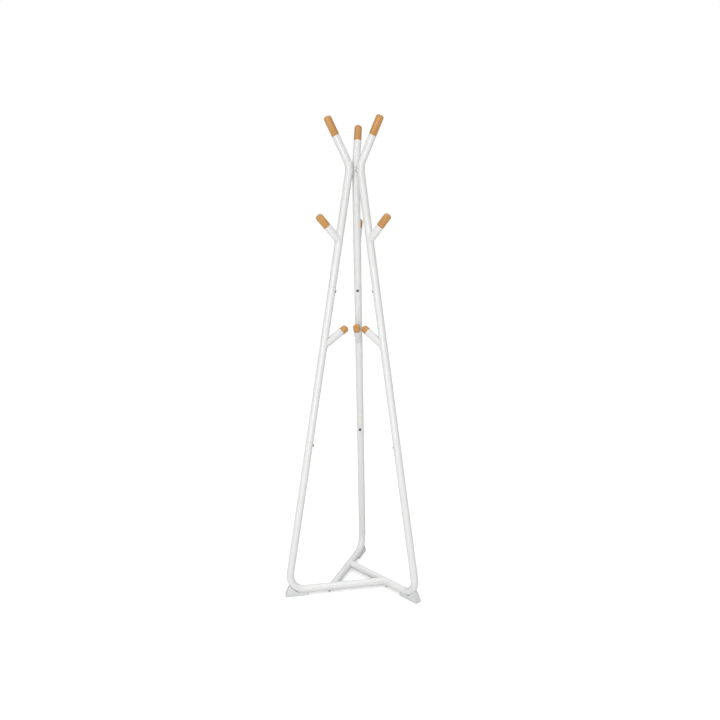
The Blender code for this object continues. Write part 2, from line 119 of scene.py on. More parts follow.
BASE_BOLT_OFFSET = 0.0112
RIVET_BODY_RADIUS = 0.0044
BRACKET_THICKNESS = 0.0015
BRACKET_FROM = math.radians(20.0)
BRACKET_TO = math.radians(112.0)
BRACKET_PAST_BOLT = 0.0070
BRACKET_LENGTH = 0.0260
BRACKET_STEPS = 24
BRACKET_EDGE = 0.0004

WAIST_LUG_THICKNESS = 0.0020
WAIST_LUG_HALF_WIDTH = 0.0070
WAIST_LUG_HEIGHT = 1.5740
NUT_ACROSS_FLATS = 0.0100
NUT_HEIGHT = 0.0050
NUT_EDGE = 0.0004
LUG_EDGE = 0.0003

FOOT_HALF_WIDTH = 0.0130
FOOT_OUTLINE = (
    (-0.0095, 0.0000),
    (0.0770, 0.0000),
    (0.0770, 0.0120),
    (0.0360, 0.0135),
    (0.0260, 0.0205),
    (0.0140, 0.0320),
    (0.0080, 0.0395),
    (0.0050, 0.0395),
    (-0.0088, 0.0060),
)
FOOT_BAND = 0.0200  # height of the upright sides at the foot corner
FOOT_BAND_FALL = 0.212  # how steeply that height falls along the arm
FOOT_TAPER = math.radians(14.0)
CRADLE_TOP = 0.20  # height on the leg where the tube that hollows the foot starts
FOOT_SCREW_AT = 0.0620
FOOT_SCREW_RADIUS = 0.0020
FOOT_SCREW_HEAD_RADIUS = 0.0038
FOOT_SCREW_HEAD = 0.0020
FOOT_SCREW_LENGTH = 0.0110
FOOT_SCREW_SEAT = 0.0030
SCREW_HEAD_ROUND = 0.45  # as a part of the head's height
RECESS_SLOT = (0.0038, 0.0008)  # length and width of each slot of the cross

# ---- the studio ----

# Name, place, size (across, up) and power in watts of each softbox.
LAMPS = (
    ("key", (-0.3, -3.5, 1.25), (0.9, 2.4), 65.0),
    ("back", (0.8, 3.4, 1.8), (1.6, 2.2), 10.0),
)
LAMP_AIM_HEIGHT = 0.9
FLOOR_SIZE = 400.0
WHITE = (1.0, 1.0, 1.0, 1.0)
SKY_COLOUR = (0.97, 0.985, 1.0, 1.0)
OVERHEAD_STRENGTH = 0.30
OVERHEAD_ANGLE = math.radians(50.0)
CAMERA_FROM_CENTRE_LINE = (0.2546, -2.3699, 1.1970)
CAMERA_TURN = (82.42, 0.0, 5.72)  # degrees

# ---- directions worked out from the corners ----

LEG_UP = (WAIST_CORNER - FOOT_CORNER).normalized()
LEG_LEAN = math.atan2(-LEG_UP.x, LEG_UP.z)
ARM_OUT = Vector((-math.cos(ARM_SWING), math.sin(ARM_SWING), 0.0))
ARM_JOINT = FOOT_CORNER.x * (math.cos(ARM_SWING) - math.sqrt(3.0) * math.sin(ARM_SWING))
ARM_LENGTH = FOOT_CORNER.x * (math.cos(ARM_SWING) + math.sqrt(3.0) * math.sin(ARM_SWING))
ARM_RINGS = (  # distances along the arm of the rings round its holes and its shaped end
    FOOT_SCREW_AT - 0.006,
    FOOT_SCREW_AT + 0.006,
    ARM_JOINT - 0.024,
    ARM_JOINT + 0.004,
    ARM_LENGTH - 0.030,
)
NEXT_LEG = Matrix.Rotation(LEG_STEP, 4, "Z")

waist_low, waist_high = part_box("waist_bolt")
CENTRE_LINE = Vector(((waist_low.x + waist_high.x) / 2.0, (waist_low.y + waist_high.y) / 2.0, 0.0))


def on_leg(height):
    """The point of a leg's straight axis at this height."""
    return FOOT_CORNER + LEG_UP * ((height - FOOT_CORNER.z) / LEG_UP.z)


def along(start, direction):
    """A frame at start with +Z along direction and +X level with or above the horizon."""
    side = Vector((0.0, 1.0, 0.0))
    forward = direction.normalized()
    across = side.cross(forward).normalized()
    turn = Matrix((across, forward.cross(across), forward)).transposed()
    return Matrix.Translation(start) @ turn.to_4x4()


def seam_above(bolt_height):
    """Where two leg tubes meet, above the bolt that holds them."""
    return on_leg(bolt_height) + LEG_UP * BOLT_BELOW_SEAM


def leg_seat(side):
    """Where a leg's own frame stands on the rack."""
    turn = Matrix.Rotation(math.radians(LEGS[side]), 4, "Z")
    return Matrix.Translation(CENTRE_LINE) @ turn


def up(distance):
    return Matrix.Translation((0.0, 0.0, distance))


def inward(height):
    """A frame on a leg's axis with +Z across the leg, towards the centre line."""
    return along(on_leg(height), Vector((-LEG_UP.z, 0.0, LEG_UP.x)))


def arm_point(distance):
    """A point of this leg's arm axis, measured from the foot corner."""
    return FOOT_CORNER + ARM_OUT * distance


def floor_under(distance):
    """An upright frame on the floor under that point of the arm."""
    point = arm_point(distance)
    return Matrix.Translation((point.x, point.y, 0.0))


def arm_frame():
    """The arm's own frame: +X along it from the foot corner, +Y level towards the centre line."""
    level = Vector((-ARM_OUT.y, ARM_OUT.x, 0.0))
    turn = Matrix((ARM_OUT, level, Vector((0.0, 0.0, 1.0)))).transposed()
    return Matrix.Translation(FOOT_CORNER) @ turn.to_4x4()


def base_bolt_frame():
    """An upright frame on the floor under the base bolt that this leg's bracket holds."""
    point = floor_under(ARM_JOINT - BASE_BOLT_OFFSET).to_translation()
    return Matrix.Translation(NEXT_LEG.to_3x3() @ point)


# ---- modelling helpers ----


def settings():
    return bpy.context.scene.coat_rack


def pick(thing):
    """Leave this object alone selected, and active."""
    bpy.ops.object.select_all(action="DESELECT")
    thing.select_set(True)
    bpy.context.view_layer.objects.active = thing


def named(name):
    """The primitive that was just added, with its place moved into its mesh."""
    thing = bpy.context.object
    thing.name = name
    thing.data.name = name
    bpy.ops.object.transform_apply(location=True, rotation=True, scale=True)
    return thing


def turn_to(matrix):
    """Location and rotation arguments that put a primitive in this frame."""
    return {"location": matrix.to_translation(), "rotation": matrix.to_euler()}


def add_ring(name, matrix, radius, sides, fill="NOTHING"):
    bpy.ops.object.select_all(action="DESELECT")
    bpy.ops.mesh.primitive_circle_add(
        vertices=sides, radius=radius, fill_type=fill, **turn_to(matrix)
    )
    return named(name)


def add_bar(name, matrix, radius, length, sides):
    """A round bar from the frame's origin along its +Z."""
    bpy.ops.object.select_all(action="DESELECT")
    middle = matrix @ up(length / 2.0)
    bpy.ops.mesh.primitive_cylinder_add(
        vertices=sides, radius=radius, depth=length, **turn_to(middle)
    )
    return named(name)


def add_block(name, matrix, size):
    """A block centred on the frame's origin."""
    bpy.ops.object.select_all(action="DESELECT")
    bpy.ops.mesh.primitive_cube_add(size=1.0, scale=size, **turn_to(matrix))
    return named(name)


def editing(thing, select="SELECT"):
    pick(thing)
    bpy.ops.object.mode_set(mode="EDIT")
    bpy.ops.mesh.select_all(action=select)


def done_editing():
    bpy.ops.object.mode_set(mode="OBJECT")


def push(way):
    """Extrude what is selected."""
    bpy.ops.mesh.extrude_region_move(TRANSFORM_OT_translate={"value": way})


def spin_round(steps, angle, centre, axis):
    """Sweep what is selected round the axis by the right-hand rule."""
    bpy.ops.mesh.spin(steps=steps, angle=-angle, center=centre, axis=axis)


def select_where(thing, kind, test):
    """Select the edges or faces of the mesh in edit mode that pass the test."""
    bpy.ops.mesh.select_mode(type="FACE" if kind == "faces" else "EDGE")
    bpy.ops.mesh.select_all(action="DESELECT")
    bm = bmesh.from_edit_mesh(thing.data)
    for part in getattr(bm, kind):
        if test(part):
            part.select_set(True)
    bm.select_flush_mode()
    bmesh.update_edit_mesh(thing.data)


def lying_at(height):
    """The test for edges or faces that lie level at this height."""
    return lambda part: all(abs(v.co.z - height) < TOUCH for v in part.verts)


def close_up():
    """Merge doubles and turn the faces of the mesh in edit mode outwards."""
    bpy.ops.mesh.select_all(action="SELECT")
    bpy.ops.mesh.remove_doubles(threshold=0.000001)
    bpy.ops.mesh.normals_make_consistent(inside=False)


def cap_ends():
    """Fill the open ends of the mesh in edit mode."""
    bpy.ops.mesh.select_mode(type="EDGE")
    bpy.ops.mesh.select_all(action="DESELECT")
    bpy.ops.mesh.select_non_manifold()
    bpy.ops.mesh.edge_face_add()
    close_up()


def apply_modifier(thing, kind, **values):
    pick(thing)
    modifier = thing.modifiers.new(kind.lower(), kind)
    for key, value in values.items():
        setattr(modifier, key, value)
    bpy.ops.object.modifier_apply(modifier=modifier.name)


def cut(thing, *cutters):
    """Take the cutters out of the thing, and remove them."""
    for cutter in cutters:
        apply_modifier(thing, "BOOLEAN", operation="DIFFERENCE", solver="EXACT", object=cutter)
        bpy.data.objects.remove(cutter)


def round_edges(thing, width, segments=3, angle=40.0):
    apply_modifier(
        thing,
        "BEVEL",
        width=width,
        segments=segments,
        limit_method="ANGLE",
        angle_limit=math.radians(angle),
    )


def smooth(thing, angle=35.0):
    pick(thing)
    bpy.ops.object.shade_smooth_by_angle(angle=math.radians(angle))


def place(thing, node, finish, matrix, replaced=True):
    """Move the piece to its place, and hand it to the frame in the finish's slot."""
    pick(thing)
    thing.name = f"{node}_finished"
    thing.data.name = thing.name
    thing.matrix_world = matrix
    bpy.ops.object.transform_apply(location=True, rotation=True, scale=True)
    thing.data.materials.clear()
    thing.data.materials.append(bpy.data.materials[finish])
    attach(thing, "root")
    if replaced:
        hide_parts(node)


def place_on_legs(pattern, node, finish, replaced=True):
    """A copy of the pattern, made in its leg's frame, for each leg."""
    for side in LEGS:
        pick(pattern)
        bpy.ops.object.duplicate(linked=False)
        place(bpy.context.object, f"{node}_{side}", finish, leg_seat(side), replaced)
    bpy.data.objects.remove(pattern)


def drawn_tube(name, corners, bend=0.0, steps=0, stops=(), radius=TUBE_RADIUS, wall=None):
    """A tube drawn along its axis: a ring pushed along each run and spun round each bend.

    Stops are distances from the start at which the first run gets a ring of its own.
    """
    way = (corners[1] - corners[0]).normalized()
    tube = add_ring(name, along(corners[0], way), radius, settings().tube_sides)
    editing(tube)
    here = corners[0]
    for stop in stops:
        push(corners[0] + way * stop - here)
        here = corners[0] + way * stop
    for before, corner, after in zip(corners, corners[1:], corners[2:]):
        way_in = (corner - before).normalized()
        way_out = (after - corner).normalized()
        turn = way_in.angle(way_out)
        axis = way_in.cross(way_out).normalized()
        setback = bend * math.tan(turn / 2.0)
        arc_start = corner - way_in * setback
        push(arc_start - here)
        centre = arc_start + axis.cross(way_in) * bend
        spin_round(steps, turn, centre, axis)
        here = corner + way_out * setback
    push(corners[-1] - here)
    close_up()
    if wall is None:
        cap_ends()
    done_editing()
    if wall is not None:
        apply_modifier(tube, "SOLIDIFY", thickness=wall, offset=-1.0, use_even_offset=True)
    return tube


# ---- shader helpers ----


def add_node(tree, kind, values=(), **traits):
    """A node with its traits set, and each input given a value or a wire from another socket."""
    made = tree.nodes.new(kind)
    for key, value in traits.items():
        setattr(made, key, value)
    for key, value in dict(values).items():
        if isinstance(value, bpy.types.NodeSocket):
            tree.links.new(value, made.inputs[key])
        else:
            made.inputs[key].default_value = value
    return made


def noise(tree, vector, scale, detail=2.0, roughness=0.5, distortion=0.0):
    values = {"Vector": vector, "Scale": scale, "Detail": detail, "Roughness": roughness}
    values["Distortion"] = distortion
    return add_node(tree, "ShaderNodeTexNoise", values).outputs["Fac"]


def ranged(tree, value, low, high, to_low=0.0, to_high=1.0):
    """The value mapped smoothly from one range to another, and held at its ends."""
    values = {0: value, 1: low, 2: high, 3: to_low, 4: to_high}
    made = add_node(tree, "ShaderNodeMapRange", values, interpolation_type="SMOOTHSTEP")
    return made.outputs[0]


def maths(tree, operation, first, second, third=0.0):
    values = {0: first, 1: second, 2: third}
    return add_node(tree, "ShaderNodeMath", values, operation=operation).outputs[0]


def mixed(tree, factor, first, second):
    """The second colour laid over the first by the factor."""
    values = {0: factor, 6: first, 7: second}
    return add_node(tree, "ShaderNodeMix", values, data_type="RGBA").outputs[2]


def stretched(tree, vector, scale, location=(0.0, 0.0, 0.0)):
    values = {"Vector": vector, "Location": location, "Scale": scale}
    return add_node(tree, "ShaderNodeMapping", values).outputs["Vector"]


def toned(colour, red=1.0, green=None, blue=None):
    """An opaque colour made from this one, scaled channel by channel or all by the first factor."""
    factors = (red, green or red, blue or red)
    return tuple(min(1.0, c * f) for c, f in zip(colour, factors)) + (1.0,)


def new_group(name, inputs, outputs):
    """An empty node group with its sockets, and its two end nodes."""
    group = bpy.data.node_groups.new(name, "ShaderNodeTree")
    for label, kind, value in inputs:
        socket = group.interface.new_socket(label, in_out="INPUT", socket_type=kind)
        if value is not None:
            socket.default_value = value
    for label, kind in outputs:
        group.interface.new_socket(label, in_out="OUTPUT", socket_type=kind)
    return group, group.nodes.new("NodeGroupInput"), group.nodes.new("NodeGroupOutput")


def use_group(tree, name, values):
    """The outputs of a group that is placed in this tree with its own values."""
    group = bpy.data.node_groups[name]
    return add_node(tree, "ShaderNodeGroup", values, node_tree=group).outputs


def new_material(name, roughness, metallic=0.0):
    """An empty finish that takes its name from any plain one the frame came with."""
    material = bpy.data.materials.get(name)
    if material is not None:
        material.name = name + "_plain"
    material = bpy.data.materials.new(name)
    material.use_nodes = True
    shader = material.node_tree.nodes["Principled BSDF"]
    shader.inputs["Roughness"].default_value = roughness
    shader.inputs["Metallic"].default_value = metallic
    return material.node_tree, shader


def place_of(tree):
    return tree.nodes.new("ShaderNodeTexCoord").outputs["Object"]


def bump_into(tree, shader, height, strength, distance):
    values = {"Height": height, "Strength": strength, "Distance": distance}
    bump = add_node(tree, "ShaderNodeBump", values)
    tree.links.new(bump.outputs["Normal"], shader.inputs["Normal"])


# ---- effects that several finishes share ----


def make_skin_relief():
    """Fine rounded relief of a sprayed or moulded skin, with the slow waviness under it."""
    group, start, end = new_group(
        "skin_relief",
        [("Vector", "NodeSocketVector", None), ("Grain Scale", "NodeSocketFloat", 700.0)],
        [("Height", "NodeSocketFloat")],
    )
    vector = start.outputs["Vector"]
    scale = start.outputs["Grain Scale"]
    peel = noise(group, vector, scale, detail=1.5, roughness=0.45)
    fine = noise(group, vector, maths(group, "MULTIPLY", scale, 3.7), detail=1.0)
    slow = noise(group, vector, maths(group, "MULTIPLY", scale, 0.12), detail=1.0)
    height = maths(group, "MULTIPLY_ADD", fine, 0.25, peel)
    height = maths(group, "MULTIPLY_ADD", slow, 0.6, height)
    group.links.new(height, end.inputs["Height"])


def make_handling():
    """Soft smudges from hands, and sparse hairline rubs within them."""
    group, start, end = new_group(
        "handling",
        [("Vector", "NodeSocketVector", None), ("Patch Scale", "NodeSocketFloat", 14.0)],
        [("Smudge", "NodeSocketFloat"), ("Rub", "NodeSocketFloat")],
    )
    vector = start.outputs["Vector"]
    scale = start.outputs["Patch Scale"]
    patches = noise(group, vector, scale, detail=3.0, roughness=0.6, distortion=0.4)
    smudge = ranged(group, patches, 0.35, 0.70)
    drawn_out = stretched(group, vector, (90.0, 90.0, 620.0))
    hair = noise(group, drawn_out, 1.0, detail=3.0, roughness=0.55, distortion=1.5)
    line = ranged(group, hair, 0.66, 0.72)
    group.links.new(smudge, end.inputs["Smudge"])
    group.links.new(maths(group, "MULTIPLY", line, smudge), end.inputs["Rub"])


def make_specks():
    """Sparse small specks: dust nibs in a coating, or pits in a casting."""
    group, start, end = new_group(
        "specks",
        [
            ("Vector", "NodeSocketVector", None),
            ("Spacing Scale", "NodeSocketFloat", 160.0),
            ("Size", "NodeSocketFloat", 0.12),
        ],
        [("Mask", "NodeSocketFloat")],
    )
    vector = start.outputs["Vector"]
    scale = start.outputs["Spacing Scale"]
    cells = add_node(group, "ShaderNodeTexVoronoi", {"Vector": vector, "Scale": scale})
    near = maths(group, "LESS_THAN", cells.outputs["Distance"], start.outputs["Size"])
    sparse = noise(group, vector, maths(group, "MULTIPLY", scale, 0.6))
    chosen = maths(group, "GREATER_THAN", sparse, 0.58)
    group.links.new(maths(group, "MULTIPLY", near, chosen), end.inputs["Mask"])


def make_metal_marks():
    """Turning lines and patchy tone of plated steel."""
    group, start, end = new_group(
        "metal_marks",
        [("Vector", "NodeSocketVector", None), ("Line Scale", "NodeSocketFloat", 2400.0)],
        [("Lines", "NodeSocketFloat"), ("Patches", "NodeSocketFloat")],
    )
    vector = start.outputs["Vector"]
    turned = stretched(group, vector, (0.15, 0.15, 1.0))
    lines = noise(group, turned, start.outputs["Line Scale"], detail=2.0, roughness=0.6)
    patches = noise(group, vector, 320.0, detail=3.0, roughness=0.65, distortion=0.8)
    group.links.new(lines, end.inputs["Lines"])
    group.links.new(patches, end.inputs["Patches"])


# ---- finishes ----

ZINC = ((0.52, 0.52, 0.53), (0.40, 0.41, 0.43))  # bright and deep tone of the plain plating


def make_white_coat():
    """White powder coat: soft orange peel, dust nibs and faint handling marks."""
    colour = settings().coat_colour
    tree, shader = new_material("white_steel", 0.32)
    vector = place_of(tree)
    relief = use_group(tree, "skin_relief", {"Vector": vector, "Grain Scale": 620.0})
    handling = use_group(tree, "handling", {"Vector": vector, "Patch Scale": 11.0})
    specks = use_group(tree, "specks", {"Vector": vector, "Spacing Scale": 120.0, "Size": 0.07})
    tone = noise(tree, vector, 26.0, detail=3.0, roughness=0.6)
    warm = toned(colour, 1.0, 0.985, 0.955)
    dull = toned(colour, 0.93)
    grey = toned(colour, 0.62)
    base = mixed(tree, ranged(tree, tone, 0.35, 0.75), toned(colour), warm)
    base = mixed(tree, maths(tree, "MULTIPLY", handling["Smudge"], 0.22), base, dull)
    base = mixed(tree, maths(tree, "MULTIPLY", specks["Mask"], 0.6), base, grey)
    tree.links.new(base, shader.inputs["Base Color"])
    smudged = ranged(tree, handling["Smudge"], 0.0, 1.0, 0.29, 0.38)
    rough = maths(tree, "MULTIPLY_ADD", handling["Rub"], 0.05, smudged)
    tree.links.new(rough, shader.inputs["Roughness"])
    height = maths(tree, "MULTIPLY_ADD", specks["Mask"], 0.5, relief["Height"])
    bump_into(tree, shader, height, strength=0.22, distance=0.0004)


def make_beech():
    """Turned beech under satin lacquer: growth rings, fine fibres and short ray flecks."""
    light = toned(settings().wood_light)
    dark = toned(settings().wood_dark)
    fleck = toned(settings().wood_fleck)
    tree, shader = new_material("beech", 0.38)
    grain = add_node(tree, "ShaderNodeAttribute", attribute_name="grain").outputs["Vector"]
    off_centre = stretched(tree, grain, (1.0, 1.0, 0.10), (0.021, 0.009, 0.0))
    wander = noise(tree, off_centre, 60.0)
    rings = add_node(
        tree,
        "ShaderNodeTexWave",
        {
            "Vector": off_centre,
            "Scale": 62.0,
            "Distortion": 2.2,
            "Detail": 2.0,
            "Detail Scale": 1.4,
            "Detail Roughness": 0.55,
        },
        wave_type="RINGS",
        rings_direction="Z",
        wave_profile="SAW",
    ).outputs["Fac"]
    drawn_out = stretched(tree, grain, (1.0, 1.0, 0.035))
    fibres = noise(tree, drawn_out, 1500.0, detail=3.0, roughness=0.6)
    bands = noise(tree, drawn_out, 190.0, detail=3.0, roughness=0.55)
    short = stretched(tree, grain, (1.0, 1.0, 0.16))
    cells = add_node(tree, "ShaderNodeTexVoronoi", {"Vector": short, "Scale": 780.0})
    rays = ranged(tree, cells.outputs["Distance"], 0.30, 0.12)
    some = ranged(tree, noise(tree, short, 240.0, detail=1.0), 0.48, 0.60)
    flecks = maths(tree, "MULTIPLY", rays, some)
    base = mixed(tree, ranged(tree, rings, 0.10, 0.95, 0.0, 0.55), light, dark)
    base = mixed(tree, ranged(tree, bands, 0.38, 0.66, 0.0, 0.70), base, dark)
    base = mixed(tree, ranged(tree, fibres, 0.42, 0.70, 0.0, 0.38), base, dark)
    base = mixed(tree, ranged(tree, wander, 0.50, 0.75, 0.0, 0.45), base, toned(light, 1.16))
    base = mixed(tree, maths(tree, "MULTIPLY", flecks, 0.62), base, fleck)
    tree.links.new(base, shader.inputs["Base Color"])
    handling = use_group(tree, "handling", {"Vector": grain, "Patch Scale": 60.0})
    satin = ranged(tree, fibres, 0.30, 0.75, 0.36, 0.46)
    rough = maths(tree, "MULTIPLY_ADD", handling["Smudge"], 0.10, satin)
    tree.links.new(rough, shader.inputs["Roughness"])
    height = maths(tree, "MULTIPLY_ADD", flecks, -0.55, maths(tree, "MULTIPLY", fibres, 0.8))
    bump_into(tree, shader, height, strength=0.30, distance=0.0002)
    shader.inputs["Coat Weight"].default_value = 0.12
    shader.inputs["Coat Roughness"].default_value = 0.22


def make_foot_plastic():
    """Moulded light grey-white plastic with a spark-textured skin and scuffs at the floor."""
    colour = settings().foot_colour
    tree, shader = new_material("foot_plastic", 0.45)
    vector = place_of(tree)
    relief = use_group(tree, "skin_relief", {"Vector": vector, "Grain Scale": 2100.0})
    handling = use_group(tree, "handling", {"Vector": vector, "Patch Scale": 38.0})
    specks = use_group(tree, "specks", {"Vector": vector, "Spacing Scale": 420.0, "Size": 0.13})
    height = add_node(tree, "ShaderNodeSeparateXYZ", {"Vector": vector}).outputs["Z"]
    wobble = noise(tree, vector, 420.0, detail=4.0, roughness=0.7)
    ragged = maths(tree, "MULTIPLY_ADD", wobble, 0.0045, height)
    scuff = ranged(tree, ragged, 0.0052, 0.0020)
    cloudy = noise(tree, vector, 95.0, detail=3.0, roughness=0.6)
    cool = toned(colour, 0.955, 0.965, 0.985)
    base = mixed(tree, ranged(tree, cloudy, 0.35, 0.72), toned(colour), cool)
    base = mixed(tree, maths(tree, "MULTIPLY", scuff, 0.55), base, toned(colour, 0.74))
    pits = maths(tree, "MULTIPLY", specks["Mask"], 0.5)
    tree.links.new(mixed(tree, pits, base, toned(colour, 0.80)), shader.inputs["Base Color"])
    smudged = ranged(tree, handling["Smudge"], 0.0, 1.0, 0.42, 0.54)
    rough = maths(tree, "MULTIPLY_ADD", scuff, 0.14, smudged)
    tree.links.new(rough, shader.inputs["Roughness"])
    bump_into(tree, shader, relief["Height"], strength=0.35, distance=0.00018)


def make_steel(name, colour, deep, roughness, line_scale):
    """Plated steel: turning lines, patchy tone and fine rubs."""
    tree, shader = new_material(name, roughness, metallic=1.0)
    vector = place_of(tree)
    marks = use_group(tree, "metal_marks", {"Vector": vector, "Line Scale": line_scale})
    handling = use_group(tree, "handling", {"Vector": vector, "Patch Scale": 150.0})
    patch = ranged(tree, marks["Patches"], 0.35, 0.70)
    base = mixed(tree, patch, toned(colour), toned(deep))
    rubbed = maths(tree, "MULTIPLY", handling["Rub"], 0.7)
    tree.links.new(mixed(tree, rubbed, base, toned(colour, 1.5)), shader.inputs["Base Color"])
    rough = ranged(tree, marks["Lines"], 0.30, 0.72, roughness - 0.06, roughness + 0.10)
    tree.links.new(rough, shader.inputs["Roughness"])
    bump_into(tree, shader, marks["Lines"], strength=0.18, distance=0.0001)


def make_floor_paint():
    """Pale matt studio floor with a trace of roller texture, bleached white to the camera."""
    colour = settings().floor_colour
    tree, shader = new_material("studio_floor", 0.85)
    vector = place_of(tree)
    tone = ranged(tree, noise(tree, vector, 1.6, detail=4.0, roughness=0.6), 0.30, 0.75)
    base = mixed(tree, tone, toned(colour), toned(colour, 0.985))
    tree.links.new(base, shader.inputs["Base Color"])
    roller = noise(tree, vector, 260.0, detail=3.0)
    bump_into(tree, shader, roller, strength=0.08, distance=0.0004)
    shader.inputs["Specular IOR Level"].default_value = 0.2
    shader.inputs["Emission Color"].default_value = WHITE
    seen = tree.nodes.new("ShaderNodeLightPath").outputs["Is Camera Ray"]
    glow = maths(tree, "MULTIPLY_ADD", seen, settings().floor_bleach, settings().floor_glow)
    tree.links.new(glow, shader.inputs["Emission Strength"])


# ---- pieces ----


def make_upper_tube():
    """Top length of the leg, bent outward at the waist into the top arm."""
    bottom = seam_above(UPPER_BOLT_HEIGHT) + LEG_UP * (GAP / 2.0)
    wood = (TOP_END - WAIST_CORNER).normalized() * (TOP_TIP + GAP)
    corners = (bottom, WAIST_CORNER, TOP_END - wood)
    wall = settings().tube_wall
    tube = drawn_tube("upper_tube", corners, WAIST_BEND, WAIST_BEND_STEPS, (RIM_RING,), wall=wall)
    round_edges(tube, settings().rim_round)
    smooth(tube)
    place_on_legs(tube, "upper_tube", "white_steel")


def leg_bolt_cutter(height):
    """A drill from the leg's axis out through its inner wall."""
    return add_bar("drill", inward(height), HOLE_RADIUS, TUBE_RADIUS * 1.5, DRILL_SIDES)


def make_middle_tube():
    """Straight length of the leg between its two seams."""
    bottom = seam_above(LOWER_BOLT_HEIGHT) + LEG_UP * (GAP / 2.0)
    top = seam_above(UPPER_BOLT_HEIGHT) - LEG_UP * (GAP / 2.0)
    bolt_from_bottom = (on_leg(UPPER_BOLT_HEIGHT) - bottom).length
    stops = (RIM_RING, bolt_from_bottom - HOLE_RING, bolt_from_bottom + HOLE_RING)
    tube = drawn_tube("middle_tube", (bottom, top), stops=stops, wall=settings().tube_wall)
    cut(tube, leg_bolt_cutter(UPPER_BOLT_HEIGHT))
    round_edges(tube, settings().rim_round)
    smooth(tube)
    place_on_legs(tube, "middle_tube", "white_steel")


def arm_drill(distance, radius):
    """A drill from the floor up to the axis of this leg's arm."""
    return add_bar("drill", floor_under(distance), radius, ARM_HEIGHT, DRILL_SIDES)


def make_lower_tube():
    """Lowest length of the leg, bent into the base arm that ends against the next arm."""
    top = seam_above(LOWER_BOLT_HEIGHT) - LEG_UP * (GAP / 2.0)
    corners = (top, FOOT_CORNER, arm_point(ARM_LENGTH))
    bolt_from_top = (top - on_leg(LOWER_BOLT_HEIGHT)).length
    stops = (bolt_from_top - HOLE_RING, bolt_from_top + HOLE_RING)
    wall = settings().tube_wall
    tube = drawn_tube("lower_tube", corners, FOOT_BEND, FOOT_BEND_STEPS, stops, wall=wall)
    editing(tube)
    for distance in ARM_RINGS:
        bpy.ops.mesh.select_all(action="SELECT")
        bpy.ops.mesh.bisect(plane_co=arm_point(distance), plane_no=ARM_OUT)
    done_editing()
    axis = NEXT_LEG @ along(FOOT_CORNER, ARM_OUT)
    next_arm = add_bar("next_arm", axis, TUBE_RADIUS + GAP, ARM_LENGTH, TOOL_SIDES)
    rivet_hole = arm_drill(ARM_JOINT - BASE_BOLT_OFFSET, RIVET_BODY_RADIUS + GAP)
    screw_hole = arm_drill(FOOT_SCREW_AT, FOOT_SCREW_RADIUS + GAP)
    slot = bracket_blank(GAP)
    cut(tube, next_arm, slot, leg_bolt_cutter(LOWER_BOLT_HEIGHT), rivet_hole, screw_hole)
    smooth(tube)
    place_on_legs(tube, "lower_tube", "white_steel")


def make_peg(node, peg, tip_length):
    """A short welded tube with its root shaped to the leg, and the weld round the root."""
    root, end = peg
    way = (end - root).normalized()
    mouth = end - way * (tip_length + GAP)
    tube = drawn_tube(node, (root, mouth), stops=(PEG_RING,), wall=settings().tube_wall)
    stub = along(root - LEG_UP * (LEG_STUB / 2.0), LEG_UP)
    cut(tube, add_bar("leg", stub, TUBE_RADIUS + GAP, LEG_STUB, TOOL_SIDES))
    round_edges(tube, settings().rim_round, angle=60.0)
    smooth(tube)
    place_on_legs(tube, f"{node}_tube", "white_steel")

    bead = settings().weld_bead
    ring = add_ring("weld", along(mouth, way), TUBE_RADIUS + bead * WELD_SPREAD, TOOL_SIDES)
    leg = add_bar("leg", stub, TUBE_RADIUS + bead * WELD_LIFT, LEG_STUB, 128)
    drop_ring_onto(ring, leg, mouth, way)
    pick(ring)
    bpy.ops.object.convert(target="CURVE")
    curve = ring.data
    curve.bevel_depth = bead
    curve.bevel_resolution = 3
    for spline in curve.splines:
        for i, point in enumerate(spline.points):
            swell = abs(math.sin(math.pi * i / POINTS_PER_RIPPLE))
            point.radius = 1.0 - WELD_RIPPLE * swell
    bpy.ops.object.convert(target="MESH")
    editing(ring)
    close_up()
    done_editing()
    smooth(ring, 60.0)
    place_on_legs(ring, f"{node}_weld", "white_steel", replaced=False)


def drop_ring_onto(ring, target, mouth, way):
    """Slide each point of the ring down the peg until it lies on the target."""
    frame_back = along(mouth, way)
    pick(ring)
    ring.data.transform(frame_back.inverted())
    ring.matrix_world = frame_back
    bpy.context.view_layer.update()
    apply_modifier(
        ring,
        "SHRINKWRAP",
        wrap_method="PROJECT",
        use_project_z=True,
        use_negative_direction=True,
        use_positive_direction=False,
        target=target,
    )
    bpy.ops.object.transform_apply(location=True, rotation=True, scale=True)
    bpy.data.objects.remove(target)


def make_tips(node, end, way, length, rank):
    """A turned beech tip with a spigot for each leg, in the mouth of its tube."""
    way = way.normalized()
    wall = settings().tube_wall
    for index, side in enumerate(LEGS):
        tip = add_bar("tip", Matrix.Identity(4), TUBE_RADIUS, length, settings().tip_sides)
        editing(tip, "DESELECT")
        select_where(tip, "edges", lying_at(length))
        bpy.ops.mesh.bevel(offset=TIP_ROUND, segments=TIP_ROUND_SEGMENTS, profile=0.5)
        select_where(tip, "faces", lying_at(0.0))
        bpy.ops.mesh.inset(thickness=wall + GAP)
        push((0.0, 0.0, -TIP_SPIGOT))
        close_up()
        done_editing()
        round_edges(tip, TIP_EDGE, 2, 60.0)
        smooth(tip, 50.0)
        lay_grain(tip, index, rank)
        place(tip, f"{node}_{side}", "beech", leg_seat(side) @ along(end - way * length, way))


